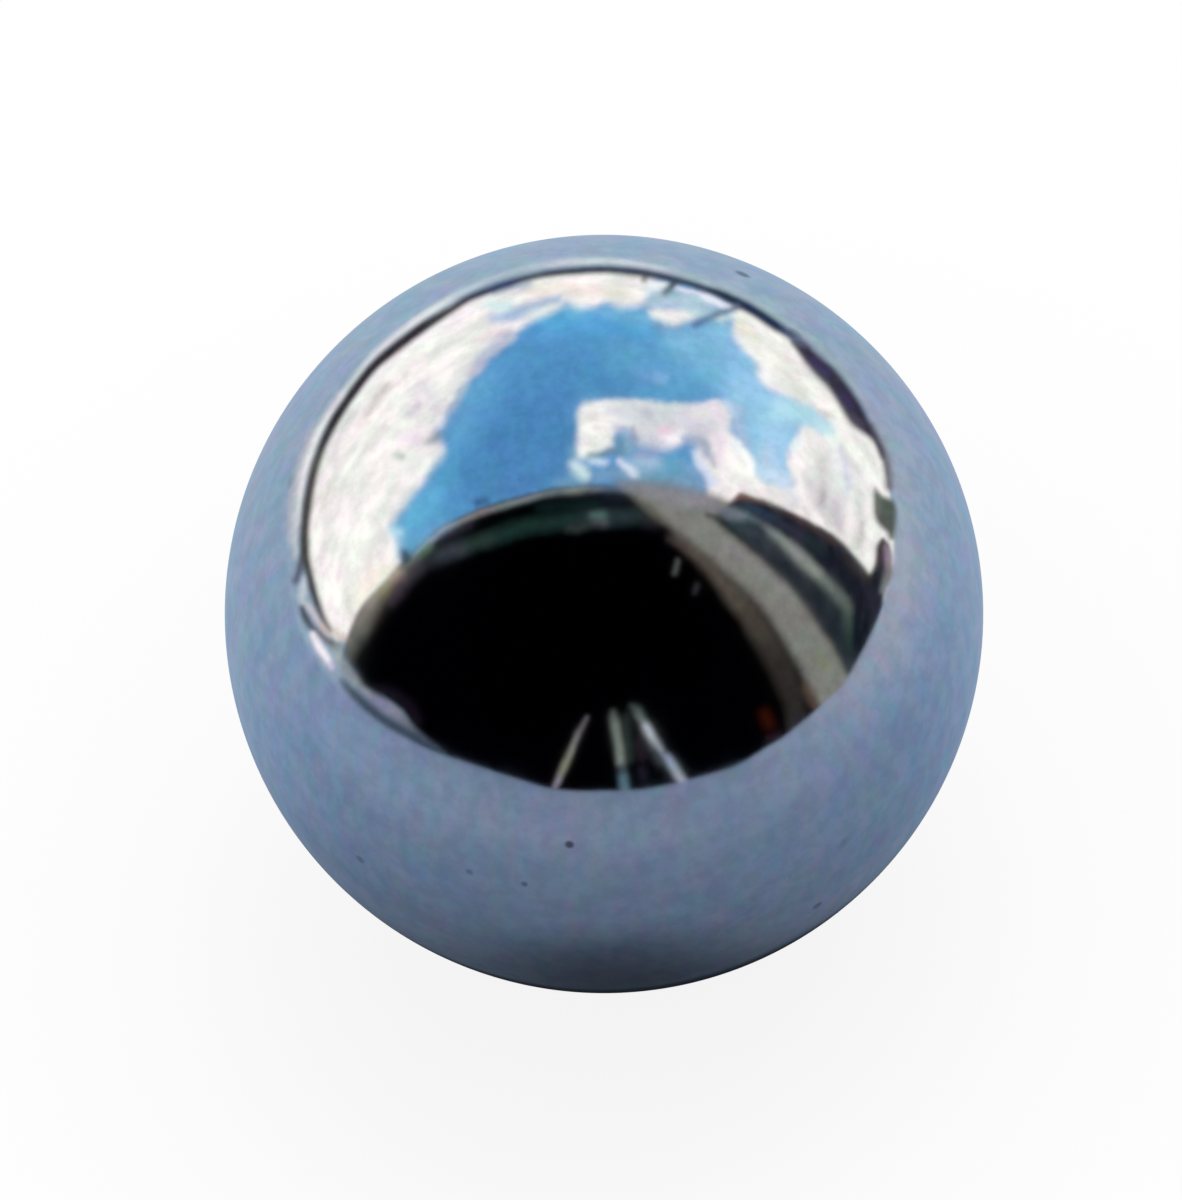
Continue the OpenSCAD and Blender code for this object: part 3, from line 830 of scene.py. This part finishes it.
CANOPY_STROKES = [
    # rim
    ((100, 102, 98), 5, 1, [(-67.8, -11.5, 0.8), (-67.2, -9, 1.4), (-66, -6, 2.1),
        (-64.6, -3, 2.4, 116, 114, 108), (-63.2, -0.3, 2.2, 128, 122, 116), (-61.6, 2.6, 2, 138, 130, 124),
        (-60.4, 4.2, 1.8), (-58.9, 6, 1.8, 142, 136, 110), (-57.7, 7.6, 1.7, 152, 142, 118),
        (-56, 9.6, 1.7, 170, 150, 138), (-54.2, 11.3, 1.6), (-52.5, 12.6, 1.2, 102, 94, 98),
        (-49.5, 13.8, 1, 86, 74, 82)]),
    ((72, 66, 78), 4.5, 0.8, [(-56.2, 3.2, 0.5), (-54, 6.4, 0.9), (-51.5, 9.6, 0.9), (-48.5, 11.6, 0.5)]),
    ((138, 166, 176), 2, 1, [(-50, 15.8, 0.7), (-47, 19, 1.1, 148, 174, 186),
        (-44.8, 20.6, 0.9, 142, 164, 180), (-42, 22.5, 0.9), (-37.5, 24.8, 0.8, 130, 132, 136),
        (-34, 26.2, 0.8, 124, 120, 122), (-30, 27.7, 0.8), (-25, 29.2, 0.8, 120, 130, 132), (-19, 30.8, 0.8),
        (-15, 31.9, 0.9, 108, 116, 120), (-12, 32.4, 0.9), (-8, 32.9, 1, 126, 130, 126),
        (-3, 33.2, 0.9, 110, 118, 126), (1, 33.3, 0.8, 92, 104, 128), (5, 32.9, 0.7)]),
    ((88, 112, 86), 2.6, 1, [(-48.4, 15.2, 0.5), (-46, 17.6, 0.9)]),
    ((104, 116, 106), 3, 0.9, [(-53.2, 12.6, 0.7), (-51, 14.2, 0.8)]),
    ((46, 42, 56), 3, 0.8, [(-43, 20.3, 0.4), (-38, 22.4, 0.7), (-35, 23.6, 0.4)]),
    # fold
    ((44, 46, 52), 4, 1, [(-48.5, 12.6, 0.5), (-45.5, 14.2, 1.2), (-43, 15.5, 1.7, 54, 60, 68),
        (-40.5, 16.7, 1.9), (-38, 17.4, 1.8), (-34.5, 18.6, 1.5, 40, 56, 52), (-31, 19.6, 1.7),
        (-27, 21, 2, 26, 46, 43), (-23, 22.4, 2), (-19, 23.3, 2), (-15, 24, 2), (-11, 24.5, 2),
        (-8, 24.8, 2), (-5, 25.2, 2.1, 36, 50, 53), (0, 25.4, 2.2), (5, 25.8, 2.1), (9, 25.8, 1.7),
        (13, 23.8, 0.8, 36, 32, 42)]),
    ((50, 58, 55), 3.5, 0.9, [(-9.5, 22.4, 0.5), (-7, 22.7, 0.9), (-5, 23.4, 0.6)]),
    ((84, 116, 110), 3.5, 0.9, [(-2.6, 25.9, 0.8), (-0.6, 25.8, 0.9)]),
    ((78, 76, 86), 3, 0.8, [(-2.5, 24.2, 0.5), (0.5, 24.2, 0.6)]),
    ((16, 34, 34), 4, 0.8, [(-17, 28, 0.6), (-10, 28.4, 0.9), (-2, 29, 0.9)]),
    ((22, 26, 40), 4, 0.8, [(0, 30.5, 0.8), (4.5, 30.3, 0.9)]),
    ((24, 18, 30), 3.6, 0.9, [(-58, -19.4, 0.5), (-54.5, -21.5, 0.9), (-51, -24.5, 0.9), (-49, -28, 0.7)]),
]
BEIGE_BAND = [
    (3, 34.6), (6, 32.3), (8.4, 30.4), (10.6, 28.4), (12.8, 26.6), (15.2, 24.8), (17.8, 23), (20, 21),
    (22.2, 18.7), (25, 16.7), (28.8, 14), (32.6, 10.9), (36.4, 7.8), (39.8, 4.4), (42.9, 0.7), (45.8, -3.8),
    (48.7, -8.8), (51.5, -13.6), (53.6, -17.6), (55, -21.2), (57.5, -25), (62, -24), (67, -18), (64, -14.8),
    (62, -11), (60.3, -8), (58, -5), (56.2, -2.3), (54.6, 0.8), (52.6, 3.3), (50, 6.1), (47, 9.3),
    (43.8, 12.3), (40.6, 15.1), (37.4, 17.8), (34.2, 20.2), (31.4, 22.6), (29.6, 25.2), (31, 27.2),
    (33.5, 29), (31.5, 30.6), (28, 31.6), (22, 33), (15, 34.2), (8, 35)
]
BEIGE_BORDER = [
    ((70, 62, 60), 3.5, 1, [(17.5, 20, 0.4), (21, 17.6, 0.5, 88, 80, 72), (25, 14.6, 0.9), (28.5, 11.4, 1.3),
        (31.6, 8, 1.9, 78, 73, 66), (35, 4.2, 2.7), (38.5, 0, 2.8, 66, 60, 55), (41, -4, 2.9),
        (44, -9, 3, 54, 49, 46), (46.6, -14, 3, 44, 41, 39), (48.8, -19, 3), (50.2, -23.5, 2.6),
        (51, -30, 2.4)]),
]
BEIGE_STROKES = [
    ((118, 130, 140), 4, 0.8, [(6, 34.2, 0.6), (13, 34.2, 0.9), (20, 33.2, 0.9), (26, 32, 0.5)]),
    ((139, 137, 146), 4, 0.9, [(11, 32, 0.8), (17, 31, 1.4), (23, 29.6, 1.8), (28.5, 28.8, 1.2)]),
    ((84, 78, 64), 3.5, 0.7, [(10.5, 29, 0.4), (13, 27, 0.9), (15, 25, 0.6)]),
    ((84, 78, 70), 3.5, 0.8, [(19.5, 20.8, 0.6), (22.8, 18, 0.9), (26.3, 15.3, 0.9), (29, 13.3, 0.6)]),
    ((133, 134, 131), 4, 0.9, [(25, 24.5, 0.8), (31, 20, 1.2), (37.5, 14.3, 1.2), (44, 9, 1.4),
        (50, 4, 1.1)]),
    ((126, 129, 118), 4, 0.6, [(31, 14.5, 1), (38, 8.5, 1.3), (44, 1.5, 1), (48, -5, 0.8)]),
    ((120, 126, 101), 3, 0.8, [(56.5, -10.5, 0.8), (58.5, -14, 1)]),
    ((112, 92, 86), 2.5, 0.8, [(54.8, -19.5, 0.6), (56, -20.6, 0.5)]),
    ((80, 66, 58), 3, 0.9, [(53.2, -18.6, 0.8), (54.2, -21.6, 1.1), (55.6, -24.3, 1)]),
    ((36, 33, 46), 2.8, 0.9, [(50.5, -28, 0.8), (53.2, -26.8, 0.7)]),
]
DARK_INNER = [
    (27, 26.3), (30.5, 25.9), (33, 26.6), (36, 26), (39, 24.8), (42, 23.3), (45, 20.9), (48, 18), (51, 15.1),
    (53.3, 12.7), (56, 10.2), (59, 7), (62, 3.9), (64.5, 1.5), (65.5, -4), (66.5, -8), (68, -14), (66, -18),
    (64, -14.8), (62, -11), (60.3, -8), (58, -5), (56.2, -2.3), (54.6, 0.8), (52.6, 3.3), (50, 6.1),
    (47, 9.5), (44, 12.7), (41, 15.5), (38, 18.3), (35, 21), (32, 23.7), (29.3, 25.2)
]
DARK_OUTER = [
    (33, 29), (34.6, 30.4), (36, 31.3), (38.5, 30.5), (42, 29.1), (46, 27.6), (50, 26), (54, 24.3), (58, 22),
    (61, 20.2), (63.4, 18.1), (65.6, 15.6), (67.7, 13), (69.2, 11.1), (70, 10.7), (71, 12), (72.1, 15),
    (72.7, 18.2), (73.6, 19.9), (75, 18.2), (75.4, 16), (75.7, 12.5), (75.1, 9), (74, 5.5), (73.2, 2),
    (72.2, -2), (71.6, -8), (68, -16), (66, -12), (65, -8), (64.8, -3), (64.6, 1.8), (62, 4.2), (59, 7.3),
    (56, 10.6), (53.2, 13.3), (51, 15.5), (48, 18.3), (45, 21.2), (42, 23.8), (38, 26.3), (34, 27.8)
]
DARK_STROKES = [
    ((72, 72, 64), 2, 0.8, [(27, 25.9, 0.3), (31, 25.4, 0.5)]),
    ((46, 64, 68), 3.5, 0.9, [(32.5, 24.3, 0.4), (36.5, 23, 1.1), (39.5, 21.6, 0.8)]),
    ((56, 58, 70), 3, 0.8, [(38, 22.8, 0.8), (42, 19.6, 1), (45.5, 16.6, 0.7)]),
    ((24, 34, 40), 3.5, 0.8, [(43.5, 14.5, 0.6), (47.5, 11.8, 1.2), (52, 7.5, 1.3), (57, 1.5, 1.3),
        (62, -6, 1.2)]),
    ((110, 118, 130), 2.6, 1, [(30.5, 27.4, 0.6), (33.5, 26.6, 1.5), (36, 26, 1.3),
        (38.6, 25.4, 0.8, 88, 104, 112), (41.3, 24, 0.6, 84, 96, 102), (42.8, 22.8, 0.7, 106, 112, 118),
        (44.5, 21.3, 1, 122, 127, 130), (47.5, 18.8, 1.3, 132, 137, 134), (51, 15.7, 1.5, 142, 148, 146),
        (53.5, 13.3, 1.6, 128, 138, 130), (56, 11, 1.5), (59, 7.9, 1.3, 112, 118, 114),
        (62, 4.5, 1.5, 100, 108, 106), (64.1, 2, 1.3, 94, 102, 96), (64.4, -1.5, 0.8, 63, 80, 72),
        (64.5, -5, 0.7, 50, 68, 62), (64.8, -10.5, 0.5, 22, 42, 42)]),
    ((120, 84, 74), 2.2, 0.95, [(34.5, 30.4, 0.4), (36.2, 31.1, 0.8), (38.5, 30.4, 0.7, 104, 76, 68),
        (44, 28.8, 0.6, 66, 50, 46), (50, 25.6, 0.6), (56, 22.2, 0.5), (61, 18.6, 0.4)]),
    ((44, 64, 84), 3.2, 0.9, [(36.8, 28.6, 0.5), (39.5, 27.8, 0.8), (42.8, 26.2, 0.7),
        (48, 23.2, 1, 46, 48, 64), (52, 20.8, 0.9), (55.5, 18.4, 1, 32, 46, 52), (60, 13, 1.2, 22, 20, 40)]),
    ((48, 42, 27), 2, 0.8, [(63.5, 14.8, 0.4), (67, 11, 0.5), (70, 9.3, 0.6)]),
    ((66, 50, 52), 1.8, 0.9, [(72.1, 12.5, 0.4), (72.9, 16, 0.5), (73.5, 18.8, 0.4)]),
    ((146, 132, 146), 2.4, 0.95, [(74.4, 17.6, 0.5), (74.9, 15, 0.9), (75, 12, 1, 132, 122, 128),
        (74.6, 9, 1, 122, 124, 124), (73.9, 6, 0.8, 124, 132, 140)]),
]
STAND_STROKES = [
    ((104, 100, 108), 1.8, 1, [(-4.5, -27.2, 0.3), (-6.2, -30.5, 0.5, 114, 110, 116),
        (-7.5, -33.3, 0.6, 130, 127, 130), (-9.7, -38.2, 0.7, 132, 132, 120), (-11.4, -42, 0.7),
        (-12, -43.6, 0.7, 132, 126, 140), (-12.9, -45.6, 0.6)]),
    # A painted shadow beside the middle leg
    ((40, 50, 48), 3, 0.9, [(5.8, -27, 0.5), (6.2, -32, 0.9), (6.6, -38, 0.9)]),
    ((84, 94, 88), 2.1, 1, [(2.4, -25.8, 0.4), (2.7, -27.5, 0.8, 100, 110, 104),
        (3.2, -30, 1, 114, 124, 118), (3.7, -33, 1), (4.2, -36.5, 1, 124, 133, 128), (4.5, -39, 0.9),
        (4.7, -40.6, 0.9, 66, 78, 84), (4.9, -41.8, 1, 66, 84, 94), (5.1, -43.4, 1.2, 84, 110, 126),
        (5.7, -48, 1.4)]),
    ((70, 80, 78), 2.1, 1, [(7.3, -24.2, 0.4), (8.7, -25.6, 1, 80, 92, 88), (9.4, -27, 1.1, 98, 110, 105),
        (10.3, -28.4, 0.9, 128, 136, 138), (11, -29.5, 0.9, 182, 188, 196), (12.1, -31.5, 1, 190, 196, 206),
        (13, -33.2, 0.9, 172, 180, 188), (14.6, -35.2, 0.8, 154, 162, 172),
        (15.4, -36.6, 0.7, 126, 140, 152), (16.8, -37.8, 0.9, 142, 158, 178),
        (17.8, -39.4, 1, 150, 168, 188), (19, -41.6, 1, 152, 166, 174), (20, -43.2, 1, 164, 168, 184),
        (22.4, -46.5, 1.2)]),
    ((44, 31, 44), 3, 0.8, [(9, -34, 0.6), (10, -37.8, 0.7)]),
    ((62, 66, 72), 3, 0.8, [(12.4, -35.5, 0.5), (14.6, -39, 0.8)]),
    ((34, 30, 46), 3, 0.8, [(10, -41, 0.8), (10.6, -43, 0.8)]),
    ((98, 103, 101), 2.4, 0.85, [(18.7, 10.8, 0.3), (19.4, 14, 0.3)]),
    ((50, 52, 56), 2, 0.8, [(24, 5.8, 0.5), (24.4, 7.5, 0.5)]),
    ((56, 20, 6), 5, 0.9, [(42.4, -26.4, 0.8), (43.4, -29, 0.9)]),
    ((46, 28, 42), 3, 0.8, [(43.5, -33, 0.6), (46, -32, 0.6)]),
    ((44, 62, 76), 1.8, 0.95, [(-52.5, 16.1, 1), (-52.4, 14.6, 1.2)]),
]


def make_canopy():
    """The dark canopy over the camera, the bands at its right, and the legs of the camera's stand."""
    sheet = Canvas(-72, 80, -52, 38)
    sheet.fill(CANOPY, (0, 0, 1), edge=1.8)
    sheet.on_paint = True
    sheet.brush_all(CANOPY_STROKES)
    sheet.on_paint = False
    sheet.brush_all(BEIGE_BORDER)
    sheet.fill(BEIGE_BAND, (122, 123, 118), edge=3.6)
    sheet.brush_all(BEIGE_STROKES)
    sheet.fill(DARK_INNER, (46, 52, 60), edge=2.2, streak=(28, 36, 42))
    sheet.fill(DARK_OUTER, (38, 38, 50), edge=1.8, streak=(14, 22, 30))
    sheet.brush_all(DARK_STROKES + STAND_STROKES)
    sheet.hang("canopy", 2)


# ---- light and camera ----

def make_world():
    """Soft even light, and plain white to the eye and the mirror."""
    world = bpy.data.worlds.new("studio")
    bpy.context.scene.world = world
    world.use_nodes = True
    n = Nodes(world.node_tree)
    soft = n.make("Background", (1, 1, 1, 1), WORLD_STRENGTH)
    white = n.make("Background", (1, 1, 1, 1), 1.0)
    n.make("OutputWorld", n.mix_shader(n.seen(), soft, white).outputs[0])


def make_lamp():
    """One large soft lamp, high up behind the ball and a little to its right."""
    data = bpy.data.lights.new("soft_lamp", "AREA")
    data.shape = "DISK"
    data.size = LAMP_SIZE
    data.energy = LAMP_POWER
    lamp = link(bpy.data.objects.new("soft_lamp", data))
    lamp.location = LAMP_DISTANCE * Vector((math.cos(LAMP_ELEVATION) * math.cos(LAMP_AZIMUTH),
                                            math.cos(LAMP_ELEVATION) * math.sin(LAMP_AZIMUTH),
                                            math.sin(LAMP_ELEVATION)))
    lamp.rotation_euler = lamp.location.to_track_quat("Z", "Y").to_euler()
    lamp.visible_glossy = False


def make_camera():
    data = bpy.data.cameras.new("camera")
    data.sensor_width = SENSOR_MM
    longer = max(PICTURE_WIDTH, PICTURE_HEIGHT)
    data.lens = SENSOR_MM * BALL_RADIUS_PX / longer * math.sqrt(CAMERA_RADII**2 - 1)
    data.shift_x = (PICTURE_WIDTH / 2 - BALL_CENTRE_PX[0]) / longer
    data.shift_y = (BALL_CENTRE_PX[1] - PICTURE_HEIGHT / 2) / longer
    data.clip_start, data.clip_end = CAMERA_CLIP
    camera = link(bpy.data.objects.new("camera", data))
    camera.location = Vector(towards_camera) * CAMERA_DISTANCE
    turn = Vector(towards_camera).to_track_quat("Z", "Y").to_matrix()
    turn.col[0], turn.col[1], turn.col[2] = Vector(across_axis), Vector(up_axis), Vector(towards_camera)
    camera.rotation_euler = turn.to_euler()
    bpy.context.scene.camera = camera


SHEET_MATERIAL = sheet_material()
make_camera()
make_ball(steel_material())
make_floor()
make_mat()
make_backdrop()
make_canopy()
make_world()
make_lamp()

scene = bpy.context.scene
scene.view_settings.view_transform = "Standard"
scene.cycles.caustics_reflective = False
